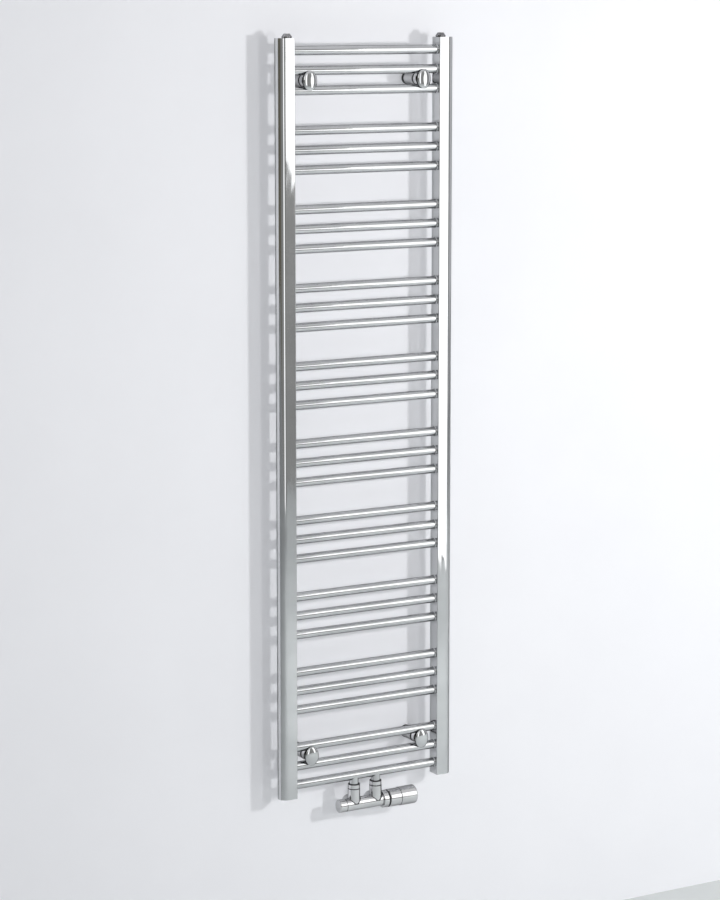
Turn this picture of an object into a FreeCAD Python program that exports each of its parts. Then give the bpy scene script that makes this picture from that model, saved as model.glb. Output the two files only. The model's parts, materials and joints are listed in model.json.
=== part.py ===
"""Chrome ladder radiator with a centre-connected thermostatic valve.

Row frame: the wall is the plane Y = 0 and the radiator hangs in front of it, towards -Y.
+X is to the right and +Z is up.  The origin is the centre of the four wall fixings.
All lengths are in millimetres.
"""
import FreeCAD, Part
import math
import os

import Sketcher
from FreeCAD import Placement, Rotation, Vector

# Driving dimensions: alias, value and what it measures.
SIZES = [
    ("overall_width", 393.0, "outside of one header to outside of the other"),
    ("rail_pitch", 38.2, "step of the grid that rails and gaps follow"),
    ("end_overhang", 24.2, "header beyond the axis of the last rail"),
    ("wall_to_rail", 55.0, "wall to the plane of the rail axes"),
    ("header_flat", 21.0, "width of the flat front of the D profile"),
    ("header_depth", 29.0, "depth of the D profile, wall side to room side"),
    ("header_wall", 1.5, "wall of the D profile"),
    ("header_edge", 1.2, "rounding of the two square edges of the D profile"),
    ("end_plate", 2.5, "thickness of the plate that closes a header"),
    ("rail_radius", 9.0, "outside of a rail"),
    ("rail_wall", 1.5, "wall of a rail"),
    ("weld_gap", 0.05, "gap around a piece before it is welded in"),
    ("run_gap", 0.05, "radial clearance of a piece that turns or slides"),
    ("thread_gap", 0.1, "radial clearance of a screwed piece, thread not drawn"),
    ("plug_radius", 10.0, "foot of the plug on top of a header"),
    ("plug_top", 6.2, "top of that plug"),
    ("plug_rise", 7.5, "height of that plug above its washer"),
    ("plug_thread", 6.5, "thread of that plug"),
    ("plug_depth", 8.0, "length of that thread"),
    ("washer", 1.0, "thickness of a sealing washer"),
    ("vent_radius", 2.5, "bleed screw"),
    ("vent_head", 2.2, "half the width of the square head of the bleed screw"),
    ("key_radius", 3.5, "recess that takes the bleed key or the hexagon key"),
    ("key_depth", 3.5, "depth of that recess"),
    ("fixing_inset", 34.0, "wall fixing inboard of the inner face of a header"),
    ("fixing_slot", 1.5, "wall fixing, in pitches from the end rail"),
    ("base_radius", 12.5, "foot and sleeve of a wall bracket"),
    ("base_foot", 3.0, "thickness of the foot"),
    ("spigot_radius", 10.4, "spigot that the sleeve slides on"),
    ("spigot_end", 28.0, "spigot end, from the wall"),
    ("spigot_bore", 7.5, "room for the head of the wall screw"),
    ("screw_hole", 2.75, "hole for the wall screw"),
    ("sleeve_lift", 0.5, "sleeve above the foot, closed up against the wall"),
    ("sleeve_web", 4.0, "front wall of the sleeve, which takes the bolt"),
    ("seat_gap", 0.1, "gap between a rail and the seats that hold it"),
    ("cup_wall", 1.0, "back face of the rear cup, behind the rails"),
    ("cup_ring", 2.0, "narrow neck behind the rear cup"),
    ("cup_neck", 9.0, "radius of that neck"),
    ("clamp_gap", 0.5, "rear cup and front clamp, from the rail axes"),
    ("clamp_root", 9.5, "root of the front clamp, between the rails"),
    ("clamp_lip", 2.0, "front of the clamp, in front of the rails"),
    ("cap_width", 15.0, "half the width of the oval cap"),
    ("cap_height", 19.2, "half the height of the oval cap"),
    ("cap_rim", 1.0, "clamp inside the outline of the cap"),
    ("cap_thickness", 5.0, "cap at its middle"),
    ("cap_dome", 44.0, "radius of the domed face of the cap"),
    ("cap_hollow", 0.5, "depth of the hollow under the cap"),
    ("bolt_radius", 2.5, "bracket bolt and grub screw"),
    ("bolt_head", 4.5, "head of the bracket bolt"),
    ("bolt_head_height", 4.0, "height of that head"),
    ("grub_out", 15.0, "grub screw, from the wall"),
    ("valve_drop", 60.0, "valve axis below the bottom rail axis"),
    ("port_spacing", 50.0, "flow connection to return connection"),
    ("stub_radius", 9.25, "stub welded under the bottom rail"),
    ("stub_bore", 6.0, "waterway of the stub"),
    ("stub_end", 17.0, "lower end of the stub, below the bottom rail axis"),
    ("nut_radius", 12.3, "union nut"),
    ("nut_top", 18.0, "top of the union nut, below the bottom rail axis"),
    ("nut_lip", 1.8, "lip of the union nut"),
    ("port_shoulder", 27.5, "shoulder of the upper port, below the bottom rail axis"),
    ("nut_foot", 26.5, "lower edge of the union nut, below the bottom rail axis"),
    ("port_thread", 10.9, "thread of the upper port"),
    ("port_neck", 23.5, "top of that thread, below the bottom rail axis"),
    ("tail_radius", 7.0, "union tail"),
    ("tail_bore", 5.0, "waterway of the union tail"),
    ("tail_flange", 10.0, "flange of the union tail"),
    ("tail_short", 2.0, "top of the tail, short of the bottom rail"),
    ("valve_radius", 13.0, "valve body"),
    ("port_radius", 12.6, "upper port, a little slimmer than the body"),
    ("valve_left", 33.0, "left end of the valve body"),
    ("valve_right", 26.0, "right shoulder of the valve body"),
    ("head_thread", 14.9, "thread that takes the head"),
    ("thread_end", 34.0, "end of that thread"),
    ("chamber", 9.0, "bore of the two valve chambers"),
    ("chamber_inboard", 13.0, "floor of a chamber, inboard of the port axis; what follows on the "
     "valve axis is measured outward from this floor"),
    ("waterway", 4.0, "small passages in the valve body"),
    ("rear_radius", 12.5, "rear port"),
    ("rear_reach", 28.0, "mouth of the rear port, from the valve axis"),
    ("rear_bore", 9.3, "core of the G 1/2 thread of the rear port"),
    ("rear_depth", 12.0, "length of that thread"),
    ("insert_start", 8.0, "inner end of a valve insert"),
    ("insert_bore", 4.7, "bore that the cone moves in"),
    ("insert_waist", 6.8, "waist around the windows of an insert"),
    ("seat_radius", 2.8, "valve seat"),
    ("seat_thickness", 1.5, "wall that holds the seat"),
    ("window_start", 11.0, "windows of an insert"),
    ("window_end", 18.0, "other end of the windows"),
    ("guide_start", 19.0, "guide of the pin or stem"),
    ("guide_end", 21.0, "other end of the guide"),
    ("spring_room", 5.0, "bore that the spring works in"),
    ("gland_start", 34.5, "gland that closes the spring room"),
    ("insert_end", 37.0, "outer end of the thermostatic insert"),
    ("insert_nose", 8.0, "outer end of either insert, radius"),
    ("pin_radius", 1.5, "valve pin"),
    ("pin_end", 46.0, "outer end of the pin"),
    ("pin_collar", 4.2, "collar that the spring pushes"),
    ("collar_start", 31.5, "collar on the pin"),
    ("collar_end", 33.0, "other side of the collar"),
    ("cone_radius", 4.0, "closing cone of either side"),
    ("cone_start", 11.2, "cone, open"),
    ("cone_end", 15.2, "other side of the cone"),
    ("coil_radius", 3.4, "middle of the spring wire, from its axis"),
    ("wire_radius", 0.45, "spring wire"),
    ("spring_turns", 6.0, "turns of the spring"),
    ("stem_radius", 2.5, "lockshield stem"),
    ("stem_tip", 1.8, "screwed tip of the stem, inside the cone"),
    ("stem_end", 33.0, "outer end of the stem"),
    ("lock_end", 35.0, "outer end of the lockshield insert"),
    ("lock_cap_start", 33.7, "open end of the lockshield cap"),
    ("lock_cap_end", 49.0, "closed end of the lockshield cap"),
    ("lock_cap_bore", 8.4, "bore of the lockshield cap"),
    ("lock_cap_depth", 4.0, "depth of that bore"),
    ("cap_edge", 0.8, "broken edges of caps and nuts"),
    ("collar_radius", 17.3, "union nut of the head"),
    ("collar_left", 26.2, "left face of that nut"),
    ("collar_right", 37.5, "right face of that nut"),
    ("collar_lip", 2.0, "lip of that nut"),
    ("head_spigot", 12.0, "neck of the head, seen as the dark gap"),
    ("head_flange", 14.0, "flange that the head nut pulls up"),
    ("head_bore", 8.6, "bore of the neck of the head"),
    ("base_left", 41.0, "left face of the fixed sleeve of the head"),
    ("base_right", 65.5, "right face of that sleeve"),
    ("head_radius", 18.0, "fixed sleeve of the head"),
    ("head_cavity", 15.0, "bore that the handwheel turns in"),
    ("cavity_start", 44.0, "inner end of that bore"),
    ("knob_left", 66.3, "left edge of the handwheel"),
    ("knob_right", 103.0, "end face of the handwheel"),
    ("knob_radius", 19.0, "handwheel"),
    ("knob_edge", 3.0, "rounded edge of the handwheel"),
    ("knob_spigot_end", 50.0, "inner end of the spigot of the handwheel"),
    ("knob_face", 3.0, "thickness of the end face of the handwheel"),
    ("sensor_radius", 12.0, "liquid sensor"),
    ("sensor_left", 51.0, "sensor"),
    ("sensor_right", 97.0, "other end of the sensor"),
    ("tip_radius", 2.5, "push tip of the sensor"),
    ("tip_gap", 0.3, "push tip of the sensor to the pin"),
]

BANKS = 10
RAILS_PER_BANK = 3
SLOTS_PER_BANK = RAILS_PER_BANK + 1
SLOT_SPAN = SLOTS_PER_BANK * BANKS - 2

document = FreeCAD.newDocument("Radiator")
sheet = document.addObject("Spreadsheet::Sheet", "Sizes")
for row, (alias, number, meaning) in enumerate(SIZES, start=1):
    sheet.set("A%d" % row, alias)
    sheet.set("B%d" % row, str(number))
    sheet.set("C%d" % row, meaning)
    sheet.setAlias("B%d" % row, alias)
document.recompute()

# Places worked out from the driving dimensions, as spreadsheet expressions.
INNER = "(Sizes.overall_width / 2 - Sizes.header_flat - Sizes.header_depth / 2)"
HALF_SPAN = "(%d / 2 * Sizes.rail_pitch)" % SLOT_SPAN
HEADER_HALF = "(%s + Sizes.end_overhang)" % HALF_SPAN
FIXING_X = "(%s - Sizes.fixing_inset)" % INNER
FIXING_Z = "(%s - Sizes.fixing_slot * Sizes.rail_pitch)" % HALF_SPAN
VALVE_Z = "(0 - %s - Sizes.valve_drop)" % HALF_SPAN
RAIL_Y = "(0 - Sizes.wall_to_rail)"
PORT_X = "(Sizes.port_spacing / 2)"
PLUG_X = "(%s + Sizes.header_flat / 2)" % INNER
HEADER_CORE = "(Sizes.header_depth / 2 - Sizes.header_wall)"
CUP_BACK = "(Sizes.wall_to_rail - Sizes.rail_radius - Sizes.cup_wall)"
CLAMP_FRONT = "(Sizes.wall_to_rail + Sizes.rail_radius + Sizes.clamp_lip)"
BOLT_SEAT = "(%s - 1 - Sizes.bolt_head_height)" % CLAMP_FRONT
SLEEVE_FRONT = "(%s - Sizes.cup_ring)" % CUP_BACK
STUB_END = "(Sizes.valve_drop - Sizes.stub_end)"
NUT_TOP = "(Sizes.valve_drop - Sizes.nut_top)"
NUT_FOOT = "(Sizes.valve_drop - Sizes.nut_foot)"
PORT_SHOULDER = "(Sizes.valve_drop - Sizes.port_shoulder)"
PORT_NECK = "(Sizes.valve_drop - Sizes.port_neck)"
TAIL_TOP = "(Sizes.valve_drop - Sizes.rail_radius - Sizes.tail_short)"
CHAMBER_X = "(%s - Sizes.chamber_inboard)" % PORT_X

UPRIGHT = Rotation()
TO_RIGHT = Rotation(Vector(0, 1, 0), 90)
TO_LEFT = Rotation(Vector(0, 1, 0), -90)
TO_ROOM = Rotation(Vector(1, 0, 0), 90)
HALF_TURN = Rotation(Vector(0, 0, 1), 180)
DOWNWARD = Rotation(Vector(1, 0, 0), 180)
TO_WALL = Rotation(Vector(1, 0, 0), -90)

subparts = []


# ---------------------------------------------------------------- small helpers

def size(name):
    """Value of one driving dimension."""
    return float(sheet.get(name))


def place(item, x, y, z, rotation=UPRIGHT):
    """Put an object at a place given by three expressions."""
    item.Placement = Placement(Vector(), rotation)
    for axis, expression in zip("xyz", (x, y, z)):
        item.setExpression("Placement.Base." + axis, str(expression))
    return item


def subpart(item, label):
    """Register an object as a sub-part under the name of its file."""
    item.Label = label
    subparts.append(item)
    return item


def origin_feature(body, role):
    return next(item for item in body.Origin.OriginFeatures if item.Role == role)


def new_body(name):
    return document.addObject("PartDesign::Body", name)


def new_sketch(body, name, plane):
    sketch = body.newObject("Sketcher::SketchObject", name)
    sketch.AttachmentSupport = [(origin_feature(body, plane), "")]
    sketch.MapMode = "FlatFace"
    return sketch


def dimension(sketch, kind, expression, *where):
    """Add one dimension to a sketch and bind it to an expression."""
    index = sketch.addConstraint(Sketcher.Constraint(kind, *where))
    sketch.setExpression("Constraints[%d]" % index, str(expression))


def draw_circle(sketch, radius, x="0", y="0"):
    """Circle with its radius and centre given as expressions."""
    circle = sketch.addGeometry(Part.Circle(Vector(1, 1, 0), Vector(0, 0, 1), 1))
    for kind, axis, expression in (("DistanceX", -2, x), ("DistanceY", -1, y)):
        if expression == "0":
            sketch.addConstraint(Sketcher.Constraint("PointOnObject", circle, 3, axis))
        else:
            dimension(sketch, kind, expression, -1, 1, circle, 3, 1.0)
    dimension(sketch, "Radius", radius, circle, 1.0)


def draw_outline(sketch, corners):
    """Closed outline through corners whose two coordinates are expressions."""
    count = len(corners)
    rough = []
    for step in range(count):
        angle = 2 * math.pi * step / count
        rough.append(Vector(20 + 9 * math.cos(angle), 20 + 9 * math.sin(angle), 0))
    lines = []
    for step in range(count):
        edge = Part.LineSegment(rough[step], rough[(step + 1) % count])
        lines.append(sketch.addGeometry(edge))
    for step in range(count):
        following = lines[(step + 1) % count]
        sketch.addConstraint(Sketcher.Constraint("Coincident", lines[step], 2, following, 1))
    for line, corner, start in zip(lines, corners, rough):
        for kind, axis, expression, number in (("DistanceX", -2, corner[0], start.x),
                                               ("DistanceY", -1, corner[1], start.y)):
            if expression == "0":
                sketch.addConstraint(Sketcher.Constraint("PointOnObject", line, 1, axis))
            else:
                dimension(sketch, kind, expression, -1, 1, line, 1, number)


def pad(body, name, sketch, length, reverse=False):
    feature = body.newObject("PartDesign::Pad", name)
    feature.Profile = sketch
    feature.Reversed = reverse
    feature.setExpression("Length", str(length))
    return feature


def pocket(body, name, sketch, length, reverse=False):
    feature = body.newObject("PartDesign::Pocket", name)
    feature.Profile = sketch
    feature.Reversed = reverse
    feature.setExpression("Length", str(length))
    return feature


def turn(body, name, corners, cut=False):
    """Turn an outline of (radius, height) corners about the body's Z axis."""
    sketch = new_sketch(body, name + "Outline", "XZ_Plane")
    draw_outline(sketch, corners)
    kind = "PartDesign::Groove" if cut else "PartDesign::Revolution"
    feature = body.newObject(kind, name)
    feature.Profile = sketch
    feature.ReferenceAxis = (origin_feature(body, "Z_Axis"), [""])
    feature.Angle = 360
    return feature


def turned_piece(name, corners):
    """A body that is one turned piece, its axis along its own Z."""
    body = new_body(name)
    turn(body, name + "Turned", corners)
    return body


def ring_corners(inner, outer, low, high):
    return [(inner, low), (outer, low), (outer, high), (inner, high)]


def edges_where(shape, test):
    """Names of the edges whose end points all pass a test."""
    names = []
    for number, edge in enumerate(shape.Edges, start=1):
        if all(test(vertex.Point) for vertex in edge.Vertexes):
            names.append("Edge%d" % number)
    return names


def soften(body, name, kind, amount, base, test):
    """Fillet or chamfer the edges of a feature that pass a test."""
    document.recompute()
    feature = body.newObject("PartDesign::" + kind, name)
    feature.Base = (base, edges_where(base.Shape, test))
    prop = "Radius" if kind == "Fillet" else "Size"
    feature.setExpression(prop, str(amount))
    return feature


def hexagon_socket(body, name, reach, top, depth):
    """Socket for a hexagon key in the upper end of a turned piece."""
    sketch = new_sketch(body, name + "Outline", "XY_Plane")
    corners = []
    for step in range(6):
        across = "0" if step in (0, 3) else "%s * sin(%d deg)" % (reach, 60 * step)
        corners.append(("%s * cos(%d deg)" % (reach, 60 * step), across))
    draw_outline(sketch, corners)
    sketch.setExpression("AttachmentOffset.Base.z", top)
    return pocket(body, name, sketch, depth)


def near(first, second):
    return abs(first - second) < 0.01


def copies(source, label, places, rotation=UPRIGHT):
    """One sub-part made of copies of a body at several places."""
    links = []
    for x, y, z in places:
        link = document.addObject("App::Link", label + "_copy")
        link.LinkedObject = source
        links.append(place(link, x, y, z, rotation))
    group = document.addObject("Part::Compound", label + "_set")
    group.Links = links
    return subpart(group, label)


def group(label, members):
    """One sub-part made of several different solids."""
    compound = document.addObject("Part::Compound", label + "_set")
    compound.Links = members
    return subpart(compound, label)


def mirrored_pairs(x, y, z):
    """Four places: both signs of X with both signs of Z."""
    signs = (("0 - ", "0 - "), ("", "0 - "), ("0 - ", ""), ("", ""))
    return [(left + x, y, low + z) for left, low in signs]


# ---------------------------------------------------------------- headers and rails

def draw_d_profile(sketch, inset, radius):
    """D profile: flat inner face, flat front and back, half-round outside."""
    flat, bulge, half = 21.0, 1.0, 14.0
    lower = sketch.addGeometry(Part.LineSegment(Vector(flat, -half, 0), Vector(bulge, -half, 0)))
    inner = sketch.addGeometry(Part.LineSegment(Vector(bulge, -half, 0), Vector(bulge, half, 0)))
    upper = sketch.addGeometry(Part.LineSegment(Vector(bulge, half, 0), Vector(flat, half, 0)))
    circle = Part.Circle(Vector(flat, 0, 0), Vector(0, 0, 1), half)
    outer = sketch.addGeometry(Part.ArcOfCircle(circle, -math.pi / 2, math.pi / 2))
    sketch.addConstraint([
        Sketcher.Constraint("Coincident", lower, 2, inner, 1),
        Sketcher.Constraint("Coincident", inner, 2, upper, 1),
        Sketcher.Constraint("Tangent", upper, 2, outer, 2),
        Sketcher.Constraint("Tangent", outer, 1, lower, 1),
        Sketcher.Constraint("Horizontal", lower),
        Sketcher.Constraint("Vertical", inner),
        Sketcher.Constraint("Horizontal", upper),
        Sketcher.Constraint("PointOnObject", outer, 3, -1),
    ])
    if inset == "0":
        sketch.addConstraint(Sketcher.Constraint("PointOnObject", inner, 1, -2))
    else:
        dimension(sketch, "DistanceX", inset, -1, 1, inner, 1, bulge)
    dimension(sketch, "DistanceX", "Sizes.header_flat", -1, 1, outer, 3, flat)
    dimension(sketch, "Radius", radius, outer, half)


def make_header(label, x, rotation):
    """Upright D tube with a round hole in its inner face for each rail."""
    body = new_body(label)
    profile = new_sketch(body, label + "Profile", "XY_Plane")
    draw_d_profile(profile, "0", "Sizes.header_depth / 2")
    draw_d_profile(profile, "Sizes.header_wall", HEADER_CORE)
    tube = pad(body, label + "Tube", profile, "2 * " + HEADER_HALF)
    half_depth = size("header_depth") / 2
    rounded = soften(body, label + "Edges", "Fillet", "Sizes.header_edge", tube,
                     lambda p: near(p.x, 0) and near(abs(p.y), half_depth))
    document.recompute()
    hole_sketch = new_sketch(body, label + "HoleSketch", "YZ_Plane")
    draw_circle(hole_sketch, "Sizes.rail_radius + Sizes.weld_gap", "0", "Sizes.end_overhang")
    hole = pocket(body, label + "Hole", hole_sketch, "Sizes.header_wall", reverse=True)
    document.recompute()
    holes = body.newObject("PartDesign::MultiTransform", label + "Holes")
    holes.Originals = [hole]
    steps = []
    for name, count, pitches in (("Bank", RAILS_PER_BANK, 1), ("Ladder", BANKS, SLOTS_PER_BANK)):
        step = body.newObject("PartDesign::LinearPattern", label + name)
        step.Direction = (origin_feature(body, "Z_Axis"), [""])
        step.Occurrences = count
        step.setExpression("Length", "%d * Sizes.rail_pitch" % (pitches * (count - 1)))
        steps.append(step)
    holes.Transformations = steps
    body.Tip = holes
    document.recompute()
    if holes.Shape.Volume >= rounded.Shape.Volume:
        raise RuntimeError("the rail holes of %s cut nothing" % label)
    place(body, x, RAIL_Y, "0 - " + HEADER_HALF, rotation)
    return subpart(body, label)


def make_end_plates():
    """Plates welded into the header ends, the upper two bored for the plugs."""
    plates = []
    for side, rotation in (("", UPRIGHT), ("0 - ", HALF_TURN)):
        for end in ("upper", "lower"):
            body = new_body("EndPlate")
            sketch = new_sketch(body, "EndPlateProfile", "XY_Plane")
            draw_d_profile(sketch, "Sizes.header_wall + Sizes.weld_gap",
                           HEADER_CORE + " - Sizes.weld_gap")
            if end == "upper":
                draw_circle(sketch, "Sizes.plug_thread + Sizes.thread_gap",
                            "Sizes.header_flat / 2")
            pad(body, "EndPlatePad", sketch, "Sizes.end_plate")
            height = HEADER_HALF + " - Sizes.end_plate"
            if end == "lower":
                height = "0 - " + HEADER_HALF
            plates.append(place(body, side + INNER, RAIL_Y, height, rotation))
    group("header_end_caps", plates)


def rail_height(index):
    """Height of a rail axis, counted from the top."""
    slot = SLOTS_PER_BANK * (index // RAILS_PER_BANK) + index % RAILS_PER_BANK
    return "(%s - %d * Sizes.rail_pitch)" % (HALF_SPAN, slot)


def make_rail(index, last):
    """Round tube between the headers; the last one is drilled for the stubs."""
    label = "rail_%02d" % (index + 1)
    body = new_body(label)
    sketch = new_sketch(body, label + "Ring", "XY_Plane")
    draw_circle(sketch, "Sizes.rail_radius")
    draw_circle(sketch, "Sizes.rail_radius - Sizes.rail_wall")
    tube = pad(body, label + "Tube", sketch, "2 * (%s + Sizes.header_wall)" % INNER)
    if last:
        document.recompute()
        holes = new_sketch(body, label + "Holes", "YZ_Plane")
        middle = "%s + Sizes.header_wall" % INNER
        for sign in ("-", "+"):
            draw_circle(holes, "Sizes.stub_bore", "0", "%s %s %s" % (middle, sign, PORT_X))
        drilled = pocket(body, label + "Drilled", holes, "Sizes.rail_radius + 1", reverse=True)
        document.recompute()
        if drilled.Shape.Volume >= tube.Shape.Volume:
            raise RuntimeError("the holes of the bottom rail cut nothing")
    place(body, "0 - %s - Sizes.header_wall" % INNER, RAIL_Y, rail_height(index), TO_RIGHT)
    return subpart(body, label)


def make_baffle():
    """Disc in the bottom rail that parts flow from return."""
    radius = "Sizes.rail_radius - Sizes.rail_wall - Sizes.weld_gap"
    disc = turned_piece("Baffle", [("0", "0"), (radius, "0"), (radius, "2"), ("0", "2")])
    place(disc, "0 - 1", RAIL_Y, "0 - " + HALF_SPAN, TO_RIGHT)
    subpart(disc, "flow_baffle")


# ---------------------------------------------------------------- plugs on top of the headers

def plug_corners():
    """Outline shared by the air vent and the blind plug, thread end at height 0."""
    seat = "Sizes.plug_depth"
    top = "Sizes.plug_depth + Sizes.plug_rise"
    return [("0", "0"), ("Sizes.plug_thread", "0"), ("Sizes.plug_thread", seat),
            ("Sizes.plug_radius", seat), ("Sizes.plug_radius", seat + " + 2"),
            ("Sizes.plug_radius - 0.6", seat + " + 2.6"), ("Sizes.plug_top", top + " - 0.6"),
            ("Sizes.plug_top - 0.8", top), ("0", top)]


def plug_place(side):
    return side + PLUG_X, RAIL_Y, "%s + Sizes.washer - Sizes.plug_depth" % HEADER_HALF


def make_air_vent():
    """Air vent body on the right header, with its bleed screw."""
    body = new_body("AirVent")
    turn(body, "AirVentTurned", plug_corners())
    document.recompute()
    top = "Sizes.plug_depth + Sizes.plug_rise"
    recess = "%s - Sizes.key_depth" % top
    bore = "Sizes.vent_radius + Sizes.run_gap"
    turn(body, "AirVentBore", [
        ("0", "0"), ("1", "0"), ("1", "2"), (bore, "2"), (bore, recess),
        ("Sizes.key_radius", recess), ("Sizes.key_radius", top), ("0", top)], cut=True)
    place(body, *plug_place(""))
    subpart(body, "air_vent_body")

    screw = new_body("BleedScrew")
    length = "Sizes.plug_depth + Sizes.plug_rise - Sizes.key_depth - 2"
    turn(screw, "BleedScrewShank", [
        ("0", "0"), ("0.8", "0"), ("Sizes.vent_radius", "1.5"),
        ("Sizes.vent_radius", length), ("0", length)])
    document.recompute()
    square = new_sketch(screw, "BleedScrewSquare", "XY_Plane")
    half = "Sizes.vent_head"
    corners = [("0 - " + half, "0 - " + half), (half, "0 - " + half),
               (half, half), ("0 - " + half, half)]
    draw_outline(square, corners)
    square.setExpression("AttachmentOffset.Base.z", length + " - 0.1")
    pad(screw, "BleedScrewHead", square, "Sizes.key_depth - 0.7")
    x, y, z = plug_place("")
    place(screw, x, y, z + " + 2.3")
    subpart(screw, "air_vent_screw")


def make_blind_plug():
    """Plug on the left header, with a socket for a hexagon key."""
    body = new_body("BlindPlug")
    turn(body, "BlindPlugTurned", plug_corners())
    document.recompute()
    hexagon_socket(body, "BlindPlugKey", "Sizes.key_radius",
                   "Sizes.plug_depth + Sizes.plug_rise", "Sizes.key_depth")
    place(body, *plug_place("0 - "))
    subpart(body, "blind_plug")


def make_sealing_washers():
    """Washers under the two plugs and under the two union tails."""
    members = []
    corners = ring_corners("Sizes.plug_thread + Sizes.thread_gap", "Sizes.plug_radius - 0.5",
                           "0", "Sizes.washer")
    for side in ("", "0 - "):
        washer = turned_piece("PlugWasher", corners)
        members.append(place(washer, side + PLUG_X, RAIL_Y, HEADER_HALF))
    corners = ring_corners("Sizes.tail_bore", "Sizes.tail_flange",
                           PORT_NECK, PORT_NECK + " + Sizes.washer")
    for side in ("", "0 - "):
        washer = turned_piece("UnionWasher", corners)
        members.append(place(washer, side + PORT_X, RAIL_Y, VALVE_Z))
    group("sealing_washers", members)


# ---------------------------------------------------------------- wall brackets

def bracket_set(source, label):
    return copies(source, label, mirrored_pairs(FIXING_X, "0", FIXING_Z), TO_ROOM)


def rail_seats(name):
    """The two rails that a bracket holds, as cylinders to cut with."""
    cylinders = []
    for sign in ("", "0 - "):
        cylinder = document.addObject("Part::Cylinder", name + "Rail")
        cylinder.setExpression("Radius", "Sizes.rail_radius + Sizes.seat_gap")
        cylinder.Height = 80
        cylinders.append(place(cylinder, "0 - 40", sign + "Sizes.rail_pitch / 2",
                               "Sizes.wall_to_rail", TO_RIGHT))
    pair = document.addObject("Part::MultiFuse", name + "Rails")
    pair.Shapes = cylinders
    return pair


def cut(name, base, tool):
    result = document.addObject("Part::Cut", name)
    result.Base = base
    result.Tool = tool
    return result


def ellipse_at(name, half_width, half_height, height):
    """Upright ellipse across the bracket axis."""
    ellipse = document.addObject("Part::Ellipse", name)
    ellipse.setExpression("MajorRadius", half_height)
    ellipse.setExpression("MinorRadius", half_width)
    return place(ellipse, "0", "0", height, Rotation(Vector(0, 0, 1), 90))


def oval_prism(name, half_width, half_height, low, length):
    prism = document.addObject("Part::Extrusion", name)
    prism.Base = ellipse_at(name + "Outline", half_width, half_height, low)
    prism.DirMode = "Custom"
    prism.Dir = Vector(0, 0, 1)
    prism.Solid = True
    prism.setExpression("LengthFwd", length)
    return prism


def make_bracket_bases():
    """Foot screwed to the wall, with the spigot that the sleeve slides on."""
    foot = "Sizes.base_foot"
    body = turned_piece("BracketBase", [
        ("Sizes.screw_hole", "0"), ("Sizes.base_radius", "0"), ("Sizes.base_radius", foot),
        ("Sizes.spigot_radius", foot), ("Sizes.spigot_radius", "Sizes.spigot_end"),
        ("Sizes.spigot_bore", "Sizes.spigot_end"), ("Sizes.spigot_bore", foot + " + 1"),
        ("Sizes.screw_hole", foot + " + 1")])
    bracket_set(body, "bracket_bases")


def make_bracket_sleeves():
    """Sleeve over the spigot, closed in front by a web tapped for the bolt."""
    body = new_body("BracketSleeve")
    low = "Sizes.base_foot + Sizes.sleeve_lift"
    high = SLEEVE_FRONT
    bore = "Sizes.spigot_radius + Sizes.run_gap"
    hole = "Sizes.bolt_radius + Sizes.thread_gap"
    tube = turn(body, "BracketSleeveTurned", [
        (bore, low), ("Sizes.base_radius", low), ("Sizes.base_radius", high), (hole, high),
        (hole, high + " - Sizes.sleeve_web"), (bore, high + " - Sizes.sleeve_web")])
    document.recompute()
    sketch = new_sketch(body, "GrubHole", "XZ_Plane")
    draw_circle(sketch, "Sizes.bolt_radius + Sizes.thread_gap", "0", "Sizes.grub_out")
    drilled = pocket(body, "GrubDrilled", sketch, "Sizes.base_radius + 1", reverse=True)
    document.recompute()
    if drilled.Shape.Volume >= tube.Shape.Volume:
        raise RuntimeError("the grub screw hole cuts nothing")
    bracket_set(body, "bracket_sleeves")


def make_bracket_grub_screws():
    """Grub screw under each sleeve that sets its reach from the wall."""
    body = turned_piece("GrubScrew", [
        ("0", "0"), ("Sizes.bolt_radius", "0"), ("Sizes.bolt_radius", "1.8"),
        ("1.3", "1.8"), ("1.3", "0.8"), ("0", "0.8")])
    places = []
    for x, y, z in mirrored_pairs(FIXING_X, "0 - Sizes.grub_out", FIXING_Z):
        places.append((x, y, z + " - Sizes.spigot_radius - 2 * Sizes.run_gap"))
    copies(body, "bracket_grub_screws", places, DOWNWARD)


def make_bracket_rear_cups():
    """Cup behind each pair of rails, with a seat for either rail."""
    hole = "Sizes.bolt_radius + Sizes.thread_gap"
    front = "Sizes.wall_to_rail - Sizes.clamp_gap"
    blank = turned_piece("RearCupBlank", [
        (hole, SLEEVE_FRONT), ("Sizes.cup_neck", SLEEVE_FRONT), ("Sizes.cup_neck", CUP_BACK),
        ("Sizes.base_radius", CUP_BACK), ("Sizes.base_radius", front), (hole, front)])
    bracket_set(cut("RearCup", blank, rail_seats("RearCup")), "bracket_rear_cups")


def make_bracket_clamps():
    """Flared clamp that grips the pair of rails from the front."""
    root = document.addObject("Part::Circle", "ClampRoot")
    root.setExpression("Radius", "Sizes.clamp_root")
    place(root, "0", "0", "Sizes.wall_to_rail + Sizes.clamp_gap")
    front = ellipse_at("ClampFront", "Sizes.cap_width - Sizes.cap_rim",
                       "Sizes.cap_height - Sizes.cap_rim", CLAMP_FRONT)
    flare = document.addObject("Part::Loft", "ClampFlare")
    flare.Sections = [root, front]
    flare.Solid = True
    flare.Ruled = True
    hole = "Sizes.bolt_radius + Sizes.thread_gap"
    counterbore = "Sizes.bolt_head + 0.5"
    behind = "Sizes.wall_to_rail - 5"
    ahead = CLAMP_FRONT + " + 5"
    bore = turned_piece("ClampBore", [
        ("0", behind), (hole, behind), (hole, BOLT_SEAT), (counterbore, BOLT_SEAT),
        (counterbore, ahead), ("0", ahead)])
    seated = cut("ClampSeated", flare, rail_seats("Clamp"))
    bracket_set(cut("Clamp", seated, bore), "bracket_clamps")


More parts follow.
